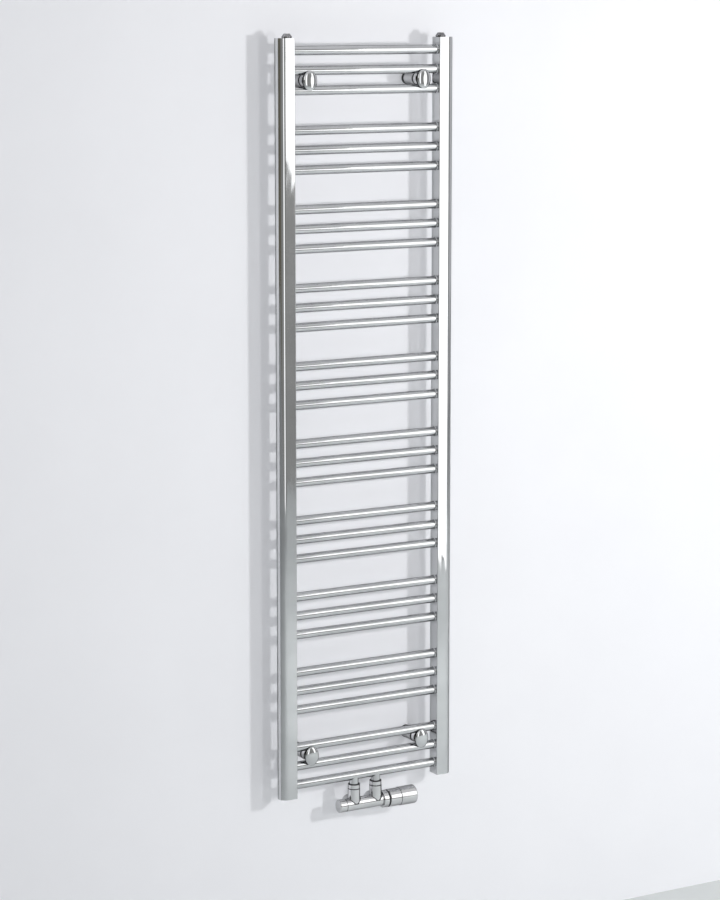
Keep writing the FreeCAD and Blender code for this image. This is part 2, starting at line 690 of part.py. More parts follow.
def make_bracket_bolts():
    """Socket-head bolt from the clamp through the cup into the sleeve."""
    tip = SLEEVE_FRONT + " - Sizes.sleeve_web - 1"
    top = BOLT_SEAT + " + Sizes.bolt_head_height"
    body = turned_piece("BracketBolt", [
        ("0", tip), ("Sizes.bolt_radius", tip), ("Sizes.bolt_radius", BOLT_SEAT),
        ("Sizes.bolt_head", BOLT_SEAT), ("Sizes.bolt_head", top), ("2", top),
        ("2", top + " - 2.5"), ("0", top + " - 2.5")])
    bracket_set(body, "bracket_bolts")


def make_bracket_caps():
    """Domed oval cap that hides the bolt."""
    low = CLAMP_FRONT
    prism = oval_prism("CapPrism", "Sizes.cap_width", "Sizes.cap_height", low,
                       "Sizes.cap_thickness + 1")
    ball = document.addObject("Part::Sphere", "CapBall")
    ball.setExpression("Radius", "Sizes.cap_dome")
    place(ball, "0", "0", low + " + Sizes.cap_thickness - Sizes.cap_dome")
    dome = document.addObject("Part::Common", "CapDome")
    dome.Base = prism
    dome.Tool = ball
    hollow = oval_prism("CapHollow", "Sizes.cap_width - 3", "Sizes.cap_height - 4", low + " - 1",
                        "Sizes.cap_hollow + 1")
    bracket_set(cut("Cap", dome, hollow), "bracket_caps")


# ---------------------------------------------------------------- connections under the bottom rail

def port_pair(source, label):
    return copies(source, label, [("0 - " + PORT_X, RAIL_Y, VALVE_Z), (PORT_X, RAIL_Y, VALVE_Z)])


def make_connection_stubs():
    """Stubs welded under the bottom rail, saddled to it, bored for the tails."""
    thread = "Sizes.tail_radius + Sizes.thread_gap"
    step = TAIL_TOP + " + 0.5"
    blank = turned_piece("StubBlank", [
        (thread, STUB_END), ("Sizes.stub_radius", STUB_END),
        ("Sizes.stub_radius", "Sizes.valve_drop"), ("Sizes.stub_bore", "Sizes.valve_drop"),
        ("Sizes.stub_bore", step), (thread, step)])
    rail = document.addObject("Part::Cylinder", "StubSaddle")
    rail.setExpression("Radius", "Sizes.rail_radius + Sizes.weld_gap")
    rail.Height = 60
    place(rail, "0 - 30", "0", "Sizes.valve_drop", TO_RIGHT)
    port_pair(cut("Stub", blank, rail), "connection_stubs")


def make_union_tails():
    """Hollow tails screwed into the stubs, their flanges held by the union nuts."""
    low = PORT_NECK + " + Sizes.washer"
    high = NUT_TOP + " - Sizes.nut_lip - 0.1"
    body = turned_piece("UnionTail", [
        ("Sizes.tail_bore", low), ("Sizes.tail_flange", low), ("Sizes.tail_flange", high),
        ("Sizes.tail_radius", high), ("Sizes.tail_radius", TAIL_TOP),
        ("Sizes.tail_bore", TAIL_TOP)])
    port_pair(body, "union_tails")


def make_union_nuts():
    """Nuts that pull the valve up to the tails."""
    lip = NUT_TOP + " - Sizes.nut_lip"
    inside = "Sizes.port_thread + Sizes.thread_gap"
    outside = "Sizes.nut_radius"
    edge = "Sizes.cap_edge"
    body = turned_piece("UnionNut", [
        (inside, NUT_FOOT), ("%s - %s" % (outside, edge), NUT_FOOT),
        (outside, NUT_FOOT + " + " + edge), (outside, NUT_TOP + " - " + edge),
        ("%s - %s" % (outside, edge), NUT_TOP),
        ("Sizes.tail_radius + Sizes.thread_gap", NUT_TOP),
        ("Sizes.tail_radius + Sizes.thread_gap", lip), (inside, lip)])
    port_pair(body, "union_nuts")


# ---------------------------------------------------------------- valve body

def upright_rod(name, radius, x, low, high):
    rod = document.addObject("Part::Cylinder", name)
    rod.setExpression("Radius", radius)
    rod.setExpression("Height", "%s - (%s)" % (high, low))
    return place(rod, x, RAIL_Y, "%s + %s" % (VALVE_Z, low))


def cross_rod(name, radius, left, right, rise="0"):
    rod = document.addObject("Part::Cylinder", name)
    rod.setExpression("Radius", radius)
    rod.setExpression("Height", "%s - (%s)" % (right, left))
    return place(rod, left, RAIL_Y, "%s + %s" % (VALVE_Z, rise), TO_RIGHT)


def rear_rod(name, radius, x, front, back):
    rod = document.addObject("Part::Cylinder", name)
    rod.setExpression("Radius", radius)
    rod.setExpression("Height", "%s - (%s)" % (back, front))
    return place(rod, x, "%s + %s" % (RAIL_Y, front), VALVE_Z, TO_WALL)


def make_valve_body():
    """Twin brass body: upper ports to the radiator, rear ports to the wall, two chambers."""
    left_end = "0 - %s - Sizes.valve_left" % CHAMBER_X
    right_end = CHAMBER_X + " + Sizes.thread_end"
    solid = [cross_rod("ValveTube", "Sizes.valve_radius", left_end, right_end),
             cross_rod("ValveThread", "Sizes.head_thread", CHAMBER_X + " + Sizes.valve_right",
                       right_end)]
    hollow = [cross_rod("LeftChamber", "Sizes.chamber", left_end + " - 1", "0 - " + CHAMBER_X),
              cross_rod("RightChamber", "Sizes.chamber", CHAMBER_X, right_end + " + 1")]
    crossing = "Sizes.valve_radius + Sizes.waterway + 1"
    drop = CHAMBER_X + " + Sizes.waterway"
    for sign in ("0 - ", ""):
        x = sign + PORT_X
        solid.append(upright_rod("UpperPort", "Sizes.port_radius", x, "0", PORT_SHOULDER))
        solid.append(upright_rod("UpperThread", "Sizes.port_thread", x, "0", PORT_NECK))
        solid.append(rear_rod("RearPort", "Sizes.rear_radius", x, "0", "Sizes.rear_reach"))
        hollow.append(rear_rod("RearThread", "Sizes.rear_bore", x,
                               "Sizes.rear_reach - Sizes.rear_depth", "Sizes.rear_reach + 1"))
        hollow.append(rear_rod("RearWay", "Sizes.waterway", x, "0", "Sizes.rear_reach"))
        hollow.append(upright_rod("UpperBore", "Sizes.tail_bore", x, "Sizes.valve_radius + 1",
                                  PORT_NECK + " + 1"))
        hollow.append(upright_rod("Drop", "Sizes.waterway / 2", sign + drop, "0", crossing))
    left_ends = ("0 - " + PORT_X, drop)
    right_ends = ("0 - (%s)" % drop, PORT_X)
    for left, right in zip(left_ends, right_ends):
        hollow.append(cross_rod("Crossing", "Sizes.waterway", left, right, crossing))
    body = document.addObject("Part::MultiFuse", "ValveSolid")
    body.Shapes = solid
    ways = document.addObject("Part::MultiFuse", "ValveWays")
    ways.Shapes = hollow
    subpart(cut("ValveBody", body, ways), "valve_body")


# ---------------------------------------------------------------- inside the valve

def on_right_side(item):
    """Thermostatic side: the axis points right from the floor of the right chamber."""
    return place(item, CHAMBER_X, RAIL_Y, VALVE_Z, TO_RIGHT)


def on_left_side(item):
    """Lockshield side: the axis points left from the floor of the left chamber."""
    return place(item, "0 - " + CHAMBER_X, RAIL_Y, VALVE_Z, TO_LEFT)


def insert_start_corners():
    """Waisted inner end that both inserts share, from the seat to the outer thread."""
    outside = "Sizes.chamber - Sizes.thread_gap"
    return [("Sizes.seat_radius", "Sizes.insert_start"), (outside, "Sizes.insert_start"),
            (outside, "Sizes.window_start"), ("Sizes.insert_waist", "Sizes.window_start"),
            ("Sizes.insert_waist", "Sizes.window_end"), (outside, "Sizes.window_end")]


def insert_seat_corners():
    """Inside of both inserts, from the guide back to the seat."""
    seat_back = "Sizes.insert_start + Sizes.seat_thickness"
    return [("Sizes.insert_bore", "Sizes.guide_start"), ("Sizes.insert_bore", seat_back),
            ("Sizes.seat_radius", seat_back)]


def cut_windows(body, name):
    """Opening through the waist that lets water in from the rear port."""
    document.recompute()
    sketch = new_sketch(body, name + "Outline", "XZ_Plane")
    draw_circle(sketch, "(Sizes.window_end - Sizes.window_start) / 3", "0",
                "(Sizes.window_start + Sizes.window_end) / 2")
    window = pocket(body, name, sketch, "Sizes.chamber + 1", reverse=True)
    window.Midplane = True
    window.setExpression("Length", "2 * Sizes.chamber + 2")


def make_thermostatic_insert():
    """Cartridge with the seat, the pin guide and the gland that closes the spring room."""
    outside = "Sizes.chamber - Sizes.thread_gap"
    guide = "Sizes.pin_radius + Sizes.run_gap"
    body = new_body("ThermostaticInsert")
    gland_radius = "(Sizes.spring_room + 1)"
    turn(body, "ThermostaticInsertTurned", insert_start_corners() + [
        (outside, "Sizes.thread_end"), ("Sizes.insert_nose", "Sizes.thread_end"),
        ("Sizes.insert_nose", "Sizes.insert_end"), (gland_radius, "Sizes.insert_end"),
        (gland_radius, "Sizes.gland_start"), ("Sizes.spring_room", "Sizes.gland_start"),
        ("Sizes.spring_room", "Sizes.guide_end"), (guide, "Sizes.guide_end"),
        (guide, "Sizes.guide_start")] + insert_seat_corners())
    cut_windows(body, "ThermostaticWindows")
    gland = turned_piece("Gland", ring_corners(
        guide, gland_radius + " - Sizes.thread_gap", "Sizes.gland_start", "Sizes.insert_end"))
    group("thermostatic_insert", [on_right_side(body), on_right_side(gland)])


def make_valve_pin():
    """Pin with the closing cone at one end and the spring collar near the other."""
    body = turned_piece("ValvePin", [
        ("0", "Sizes.cone_start"), ("Sizes.cone_radius - 1", "Sizes.cone_start"),
        ("Sizes.cone_radius", "Sizes.cone_start + 1"), ("Sizes.cone_radius", "Sizes.cone_end"),
        ("Sizes.pin_radius", "Sizes.cone_end"), ("Sizes.pin_radius", "Sizes.collar_start"),
        ("Sizes.pin_collar", "Sizes.collar_start"), ("Sizes.pin_collar", "Sizes.collar_end"),
        ("Sizes.pin_radius", "Sizes.collar_end"), ("Sizes.pin_radius", "Sizes.pin_end"),
        ("0", "Sizes.pin_end")])
    subpart(on_right_side(body), "valve_pin")


def make_pin_spring():
    """Coil spring between the guide and the collar of the pin."""
    low = "Sizes.guide_end + 1.2 * Sizes.wire_radius"
    height = "(Sizes.collar_start - Sizes.guide_end - 2.4 * Sizes.wire_radius)"
    helix = document.addObject("Part::Helix", "SpringLine")
    helix.setExpression("Radius", "Sizes.coil_radius")
    helix.setExpression("Height", height)
    helix.setExpression("Pitch", height + " / Sizes.spring_turns")
    wire = document.addObject("Part::Circle", "SpringWire")
    wire.setExpression("Radius", "Sizes.wire_radius")
    place(wire, "Sizes.coil_radius", "0", "0", TO_ROOM)
    coil = document.addObject("Part::Sweep", "SpringCoil")
    coil.Sections = [wire]
    coil.Spine = (helix, ["Edge1"])
    coil.Solid = True
    coil.Frenet = True
    copies(coil, "pin_spring", [("%s + %s" % (CHAMBER_X, low), RAIL_Y, VALVE_Z)], TO_RIGHT)


def make_lockshield_insert():
    """Cartridge of the return side, with a long guide for the stem."""
    guide = "Sizes.stem_radius + Sizes.run_gap"
    body = new_body("LockshieldInsert")
    turn(body, "LockshieldInsertTurned", insert_start_corners() + [
        ("Sizes.chamber - Sizes.thread_gap", "Sizes.valve_left"),
        ("Sizes.insert_nose", "Sizes.valve_left"), ("Sizes.insert_nose", "Sizes.lock_end"),
        (guide, "Sizes.lock_end"), (guide, "Sizes.guide_start")] + insert_seat_corners())
    cut_windows(body, "LockshieldWindows")
    subpart(on_left_side(body), "lockshield_insert")


def make_lockshield_stem():
    """Stem with a screwed tip, a retaining collar and a hexagon socket."""
    tip = "Sizes.cone_start + 1.2"
    collar = "Sizes.guide_start - 1.6"
    body = new_body("LockshieldStem")
    turn(body, "LockshieldStemTurned", [
        ("0", tip), ("Sizes.stem_tip", tip), ("Sizes.stem_tip", collar),
        ("Sizes.cone_radius - 0.5", collar), ("Sizes.cone_radius - 0.5", collar + " + 1.5"),
        ("Sizes.stem_radius", collar + " + 1.5"), ("Sizes.stem_radius", "Sizes.stem_end"),
        ("0", "Sizes.stem_end")])
    document.recompute()
    hexagon_socket(body, "LockshieldKey", "(Sizes.stem_radius - 0.7)", "Sizes.stem_end", "3")
    subpart(on_left_side(body), "lockshield_stem")


def make_lockshield_cone():
    """Cone that the screwed tip of the stem moves along the axis."""
    bore = "Sizes.stem_tip + Sizes.run_gap"
    body = turned_piece("LockshieldCone", [
        ("0", "Sizes.cone_start"), ("Sizes.cone_radius - 1", "Sizes.cone_start"),
        ("Sizes.cone_radius", "Sizes.cone_start + 1"), ("Sizes.cone_radius", "Sizes.cone_end + 1"),
        (bore, "Sizes.cone_end + 1"), (bore, "Sizes.cone_start + 1"),
        ("0", "Sizes.cone_start + 1")])
    subpart(on_left_side(body), "lockshield_cone")


def make_lockshield_cap():
    """Plain cap over the socket of the lockshield stem."""
    floor = "Sizes.lock_cap_start + Sizes.lock_cap_depth"
    body = turned_piece("LockshieldCap", [
        ("Sizes.lock_cap_bore", "Sizes.lock_cap_start"),
        ("Sizes.valve_radius - 0.4", "Sizes.lock_cap_start"),
        ("Sizes.valve_radius", "Sizes.lock_cap_start + 0.4"),
        ("Sizes.valve_radius", "Sizes.lock_cap_end - Sizes.cap_edge"),
        ("Sizes.valve_radius - Sizes.cap_edge", "Sizes.lock_cap_end"), ("0", "Sizes.lock_cap_end"),
        ("0", floor), ("Sizes.lock_cap_bore", floor)])
    subpart(on_left_side(body), "lockshield_cap")


# ---------------------------------------------------------------- thermostatic head

def make_head_union_nut():
    """Ring nut that holds the head on the valve."""
    inside = "Sizes.head_thread + Sizes.thread_gap"
    lip = "Sizes.collar_right - Sizes.collar_lip"
    neck = "Sizes.head_spigot + Sizes.thread_gap"
    edge = "Sizes.cap_edge"
    body = turned_piece("HeadNut", [
        (inside, "Sizes.collar_left"), ("Sizes.collar_radius - " + edge, "Sizes.collar_left"),
        ("Sizes.collar_radius", "Sizes.collar_left + " + edge),
        ("Sizes.collar_radius", "Sizes.collar_right - " + edge),
        ("Sizes.collar_radius - " + edge, "Sizes.collar_right"), (neck, "Sizes.collar_right"),
        (neck, lip), (inside, lip)])
    subpart(on_right_side(body), "head_union_nut")


def make_head_base():
    """Fixed sleeve of the head, held by its flange under the ring nut."""
    flange_left = "Sizes.thread_end + 0.1"
    flange_right = "Sizes.collar_right - Sizes.collar_lip - 0.1"
    edge = "Sizes.cap_edge"
    body = turned_piece("HeadBase", [
        ("Sizes.head_bore", flange_left), ("Sizes.head_flange", flange_left),
        ("Sizes.head_flange", flange_right), ("Sizes.head_spigot", flange_right),
        ("Sizes.head_spigot", "Sizes.base_left"),
        ("Sizes.head_radius - " + edge, "Sizes.base_left"),
        ("Sizes.head_radius", "Sizes.base_left + " + edge),
        ("Sizes.head_radius", "Sizes.base_right"), ("Sizes.head_cavity", "Sizes.base_right"),
        ("Sizes.head_cavity", "Sizes.cavity_start"), ("Sizes.head_bore", "Sizes.cavity_start")])
    subpart(on_right_side(body), "head_base")


def make_head_knob():
    """Handwheel: its spigot turns in the fixed sleeve and carries the sensor."""
    spigot = "Sizes.head_cavity - Sizes.run_gap"
    bore = "Sizes.sensor_radius + Sizes.run_gap"
    floor = "Sizes.knob_right - Sizes.knob_face"
    body = new_body("HeadKnob")
    wheel = turn(body, "HeadKnobTurned", [
        (bore, "Sizes.knob_spigot_end"), (spigot, "Sizes.knob_spigot_end"),
        (spigot, "Sizes.knob_left"), ("Sizes.knob_radius - 0.4", "Sizes.knob_left"),
        ("Sizes.knob_radius", "Sizes.knob_left + 0.4"), ("Sizes.knob_radius", "Sizes.knob_right"),
        ("0", "Sizes.knob_right"), ("0", floor), (bore, floor)])
    end, rim = size("knob_right"), size("knob_radius")
    soften(body, "HeadKnobEdge", "Fillet", "Sizes.knob_edge", wheel,
           lambda p: near(p.z, end) and near(math.hypot(p.x, p.y), rim))
    subpart(on_right_side(body), "head_knob")


def make_sensor_element():
    """Liquid-filled sensor with the tip that presses the valve pin."""
    tip = "Sizes.pin_end + Sizes.tip_gap"
    body = turned_piece("SensorElement", [
        ("0", tip), ("Sizes.tip_radius", tip), ("Sizes.tip_radius", "Sizes.sensor_left"),
        ("Sizes.sensor_radius", "Sizes.sensor_left"),
        ("Sizes.sensor_radius", "Sizes.sensor_right"), ("0", "Sizes.sensor_right")])
    subpart(on_right_side(body), "sensor_element")


# ---------------------------------------------------------------- build, check and write

make_header("left_header", "0 - " + INNER, HALF_TURN)
make_header("right_header", INNER, UPRIGHT)
for rail_index in range(BANKS * RAILS_PER_BANK):
    make_rail(rail_index, last=rail_index == BANKS * RAILS_PER_BANK - 1)
make_end_plates()
make_baffle()
make_air_vent()
make_blind_plug()
make_sealing_washers()
make_bracket_bases()
make_bracket_sleeves()
make_bracket_grub_screws()
make_bracket_rear_cups()
make_bracket_clamps()
make_bracket_bolts()
make_bracket_caps()
make_connection_stubs()
make_union_tails()
make_union_nuts()
make_valve_body()
make_thermostatic_insert()
make_valve_pin()
make_pin_spring()
make_lockshield_insert()
make_lockshield_stem()
make_lockshield_cone()
make_lockshield_cap()
make_head_union_nut()
make_head_base()
make_head_knob()
make_sensor_element()
document.recompute()

faults = []
for item in document.Objects:
    if "Invalid" in item.State or "Error" in item.State:
        faults.append("%s is in state %s" % (item.Name, item.State))
for item in subparts:
    if item.Shape.isNull() or not item.Shape.isValid() or not item.Shape.Solids:
        faults.append("%s has no valid solid" % item.Label)
if faults:
    raise RuntimeError("; ".join(faults))

os.makedirs("parts", exist_ok=True)
for item in subparts:
    item.Shape.exportStep(os.path.join("parts", item.Label + ".step"))
print("wrote", len(subparts), "sub-parts")
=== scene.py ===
"""Chromed ladder radiator on its four wall brackets, with the corner valve under it."""
import json
import math

import bmesh
import bpy
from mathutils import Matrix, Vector


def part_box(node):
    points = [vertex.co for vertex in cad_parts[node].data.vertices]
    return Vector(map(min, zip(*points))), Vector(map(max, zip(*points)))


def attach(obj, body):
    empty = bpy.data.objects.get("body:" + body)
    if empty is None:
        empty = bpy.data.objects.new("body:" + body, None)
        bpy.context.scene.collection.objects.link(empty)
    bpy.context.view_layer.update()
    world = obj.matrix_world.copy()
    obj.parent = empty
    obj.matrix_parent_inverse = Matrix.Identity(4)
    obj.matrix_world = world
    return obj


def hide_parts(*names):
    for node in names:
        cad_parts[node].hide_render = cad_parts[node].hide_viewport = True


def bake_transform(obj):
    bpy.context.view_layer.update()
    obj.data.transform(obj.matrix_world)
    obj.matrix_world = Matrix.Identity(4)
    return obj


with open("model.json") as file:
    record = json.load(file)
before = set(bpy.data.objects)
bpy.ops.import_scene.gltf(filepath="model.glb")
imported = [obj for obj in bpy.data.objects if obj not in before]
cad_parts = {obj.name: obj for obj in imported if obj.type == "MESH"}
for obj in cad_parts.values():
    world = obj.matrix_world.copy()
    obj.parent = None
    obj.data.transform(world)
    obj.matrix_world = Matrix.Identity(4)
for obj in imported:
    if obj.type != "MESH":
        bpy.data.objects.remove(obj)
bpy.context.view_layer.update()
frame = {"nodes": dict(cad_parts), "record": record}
nodes = frame["nodes"]

FLOOR_HEIGHT = -1.13
WALL_GAP = 0.0004


# ---------------------------------------------------------------- material helpers

# Middle part of what a noise texture gives, in which its value nearly always lies.
NOISE_LOW = 0.35
NOISE_HIGH = 0.65


class Tree:
    """Small helper that adds shader nodes and links them."""

    def __init__(self, material):
        material.use_nodes = True
        self.nodes = material.node_tree.nodes
        self.links = material.node_tree.links
        self.nodes.clear()

    def add(self, kind, **values):
        node = self.nodes.new(kind)
        for name, value in values.items():
            if name in node.inputs:
                node.inputs[name].default_value = value
            else:
                setattr(node, name, value)
        return node

    def link(self, source, target):
        self.links.new(source, target)


def stretched_noise(tree, stretch, scale, detail):
    """Noise in object space, drawn out along the axes by stretch."""
    where = tree.add("ShaderNodeTexCoord")
    mapping = tree.add("ShaderNodeMapping")
    mapping.inputs["Scale"].default_value = stretch
    noise = tree.add("ShaderNodeTexNoise", Scale=scale, Detail=detail, Roughness=0.55)
    tree.link(where.outputs["Object"], mapping.inputs["Vector"])
    tree.link(mapping.outputs["Vector"], noise.inputs["Vector"])
    return noise.outputs["Fac"]


def spread(tree, source, low, high):
    """Noise value spread between low and high."""
    node = tree.add("ShaderNodeMapRange")
    node.inputs["From Min"].default_value = NOISE_LOW
    node.inputs["From Max"].default_value = NOISE_HIGH
    node.inputs["To Min"].default_value = low
    node.inputs["To Max"].default_value = high
    tree.link(source, node.inputs["Value"])
    return node.outputs["Result"]


def tinted(tree, source, dark, light):
    """Colour that drifts between two close tones."""
    ramp = tree.add("ShaderNodeValToRGB")
    ramp.color_ramp.elements[0].position = 0.36
    ramp.color_ramp.elements[0].color = (*dark, 1.0)
    ramp.color_ramp.elements[1].position = 0.64
    ramp.color_ramp.elements[1].color = (*light, 1.0)
    tree.link(source, ramp.inputs["Fac"])
    return ramp.outputs["Color"]


# Painted shade on the metal, from face on (0) to edge on (1).
PAINTED_EDGE_SHADES = [(0.0, 1.0), (0.34, 1.0), (0.51, 0.78), (0.74, 0.42), (1.0, 0.22)]
SCRATCH_STRETCH = (1.0, 1.0, 0.35)
WAVE_STRETCH = (1.0, 1.0, 0.3)
WAVE_SCALE = 30.0
GRAIN_SCALE = 900.0


def fill_ramp(ramp, stops):
    """Colour stops of a ramp: place from 0 to 1 and colour."""
    elements = ramp.color_ramp.elements
    for place, shade in stops[1:-1]:
        elements.new(place).color = (*shade, 1.0)
    elements[0].color = (*stops[0][1], 1.0)
    elements[len(stops) - 1].color = (*stops[-1][1], 1.0)


def painted_edge_shade(tree):
    """Painted shade: grey that falls off where the metal turns away from the view, standing in
    for a room darker at its far sides.
    """
    facing = tree.add("ShaderNodeLayerWeight")
    ramp = tree.add("ShaderNodeValToRGB")
    fill_ramp(ramp, [(place, (grey, grey, grey)) for place, grey in PAINTED_EDGE_SHADES])
    tree.link(facing.outputs["Facing"], ramp.inputs["Fac"])
    return ramp.outputs["Color"]


def metal(name, dark, light, rough, wave=0.0, grain=0.0, stretch=(1.0, 1.0, 1.0)):
    """Plated or bare metal: wavy polish, fine drawn grain, faint wiping marks and painted edge
    shade.
    """
    material = bpy.data.materials.new(name)
    tree = Tree(material)
    output = tree.add("ShaderNodeOutputMaterial")
    shader = tree.add("ShaderNodeBsdfPrincipled", Metallic=1.0)
    tree.link(shader.outputs["BSDF"], output.inputs["Surface"])
    clouds = stretched_noise(tree, (1.0, 1.0, 1.0), 9.0, 3.0)
    # Painted shade: base colour and specular tint darken where the metal turns edge on.
    shade = painted_edge_shade(tree)
    toned = tree.add("ShaderNodeMix", data_type="RGBA", blend_type="MULTIPLY")
    toned.inputs[0].default_value = 1.0
    tree.link(tinted(tree, clouds, dark, light), toned.inputs[6])
    tree.link(shade, toned.inputs[7])
    tree.link(toned.outputs[2], shader.inputs["Base Color"])
    tree.link(shade, shader.inputs["Specular Tint"])
    marks = stretched_noise(tree, SCRATCH_STRETCH, 26.0, 5.0)
    tree.link(spread(tree, marks, rough[0], rough[1]), shader.inputs["Roughness"])
    normal = None
    for height, scale, along in ((wave, WAVE_SCALE, WAVE_STRETCH),
                                 (grain, GRAIN_SCALE, stretch)):
        if not height:
            continue
        bump = tree.add("ShaderNodeBump", Strength=1.0, Distance=height)
        tree.link(stretched_noise(tree, along, scale, 2.0), bump.inputs["Height"])
        if normal:
            tree.link(normal, bump.inputs["Normal"])
        normal = bump.outputs["Normal"]
    if normal:
        tree.link(normal, shader.inputs["Normal"])
    return material


def plain(name, dark, light, rough, grain):
    """Rubber or paint: soft tone changes and a fine matt grain."""
    material = bpy.data.materials.new(name)
    tree = Tree(material)
    output = tree.add("ShaderNodeOutputMaterial")
    shader = tree.add("ShaderNodeBsdfPrincipled")
    tree.link(shader.outputs["BSDF"], output.inputs["Surface"])
    clouds = stretched_noise(tree, (1.0, 1.0, 1.0), 4.0, 4.0)
    tree.link(tinted(tree, clouds, dark, light), shader.inputs["Base Color"])
    marks = stretched_noise(tree, (1.0, 1.0, 1.0), 60.0, 4.0)
    tree.link(spread(tree, marks, rough[0], rough[1]), shader.inputs["Roughness"])
    bump = tree.add("ShaderNodeBump", Strength=1.0, Distance=grain)
    tree.link(stretched_noise(tree, (1.0, 1.0, 1.0), 700.0, 3.0), bump.inputs["Height"])
    tree.link(bump.outputs["Normal"], shader.inputs["Normal"])
    return material


# ---------------------------------------------------------------- finishes

CHROME_DARK = (0.60, 0.61, 0.62)
CHROME_LIGHT = (0.68, 0.69, 0.70)
VALVE_DARK = (0.70, 0.70, 0.71)
VALVE_LIGHT = (0.78, 0.78, 0.79)
# Darkened chrome tones: painted shade.
PAINTED_SHADE_DARK = (0.17, 0.17, 0.175)
PAINTED_SHADE_LIGHT = (0.25, 0.25, 0.255)
POLISH = (0.025, 0.065)

finishes = {
    "chrome_headers": metal("chrome_headers", CHROME_DARK, CHROME_LIGHT, POLISH, 0.00012),
    "chrome_rails": metal("chrome_rails", CHROME_DARK, CHROME_LIGHT, POLISH, 0.00008),
    # The plugs get a darker copy of the chrome: painted shade.
    "chrome_plugs": metal("chrome_plugs", PAINTED_SHADE_DARK, (0.46, 0.46, 0.47), POLISH),
    "chrome_brackets": metal("chrome_brackets", CHROME_DARK, CHROME_LIGHT, (0.02, 0.05)),
    "chrome_valve": metal("chrome_valve", VALVE_DARK, VALVE_LIGHT, (0.04, 0.10), 0.00006),
    "chrome_head": metal("chrome_head", VALVE_DARK, VALVE_LIGHT, (0.04, 0.10), 0.00004),
    "bracket_zinc": metal("bracket_zinc", (0.55, 0.56, 0.58), (0.68, 0.69, 0.71),
                          (0.22, 0.34), 0.0, 0.00001),
    "plain_steel": metal("plain_steel", (0.42, 0.42, 0.43), (0.52, 0.52, 0.53),
                         (0.25, 0.4), 0.0, 0.00001, (0.1, 1.0, 1.0)),
    "dark_steel": metal("dark_steel", (0.05, 0.05, 0.052), (0.09, 0.09, 0.094),
                        (0.32, 0.48), 0.0, 0.00001),
    "spring_steel": metal("spring_steel", (0.45, 0.46, 0.48), (0.56, 0.57, 0.59),
                          (0.14, 0.24), 0.0, 0.000004),
    "bright_brass": metal("bright_brass", (0.66, 0.46, 0.19), (0.78, 0.57, 0.27),
                          (0.14, 0.26), 0.0, 0.000006, (0.1, 1.0, 1.0)),
    "sensor_metal": metal("sensor_metal", (0.56, 0.55, 0.52), (0.66, 0.65, 0.62),
                          (0.2, 0.32), 0.0, 0.000006),
    "seal_rubber": plain("seal_rubber", (0.012, 0.012, 0.013), (0.03, 0.03, 0.032),
                         (0.6, 0.75), 0.00001),
}

CAD_SLOT = {}
for subpart in frame["record"]["subparts"]:
    CAD_SLOT[subpart["node"]] = subpart["material_slot"]

# Darkened chrome for the bracket clamps and the port fillets: painted shade.
painted_shade_chrome = metal("painted_shade_chrome", PAINTED_SHADE_DARK, PAINTED_SHADE_LIGHT, (0.03, 0.06))
# Near-black zinc for the bracket bases: painted shadow in the gap at the wall.
painted_shadow_zinc = metal("painted_shadow_zinc", (0.025, 0.025, 0.027), (0.05, 0.05, 0.053), (0.3, 0.4),
                    0.0, 0.00001)
# Lighter copy of the chrome for the rear cups and sleeves: painted light.
painted_light_chrome = metal("painted_light_chrome", (0.84, 0.84, 0.845), (0.92, 0.92, 0.925), (0.03, 0.06))
# Clamps, rear cups, sleeves and bases take painted shade or painted light instead of their slot's
# finish.
PAINTED_LIGHT_AND_SHADE = {"bracket_clamps": painted_shade_chrome, "bracket_rear_cups": painted_light_chrome,
           "bracket_sleeves": painted_light_chrome, "bracket_bases": painted_shadow_zinc}

for name, item in nodes.items():
    finish = PAINTED_LIGHT_AND_SHADE.get(name, finishes[CAD_SLOT[name]])
    item.data.materials.clear()
    item.data.materials.append(finish)


# ---------------------------------------------------------------- pieces made here

def piece(name, mesh_data, finish, replaced=(), rides=True):
    """Smooth-shaded piece, which rides on the radiator unless rides is false."""
    mesh = bpy.data.meshes.new(name)
    mesh_data.to_mesh(mesh)
    mesh_data.free()
    for face in mesh.polygons:
        face.use_smooth = True
    mesh.materials.append(finish)
    made = bpy.data.objects.new(name, mesh)
    bpy.context.scene.collection.objects.link(made)
    if rides:
        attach(made, "radiator")
    if replaced:
        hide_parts(*replaced)
    return made


def add_rings(mesh, rings):
    """Skins a row of rings of points, each with the same number of points."""
    rows = [[mesh.verts.new(point) for point in ring] for ring in rings]
    count = len(rings[0])
    for lower, upper in zip(rows, rows[1:]):
        for index in range(count):
            after = (index + 1) % count
            mesh.faces.new((lower[index], lower[after], upper[after], upper[index]))
    return rows


def around(count):
    return [2.0 * math.pi * index / count for index in range(count)]


CAP_STEPS = 72
CAP_RINGS = 22
CAP_HALF_WIDTH = 0.015
CAP_HALF_HEIGHT = 0.0192
CAP_EDGE = 0.0009
CAP_ROUNDING = 0.58
CAP_CROWN = 0.004


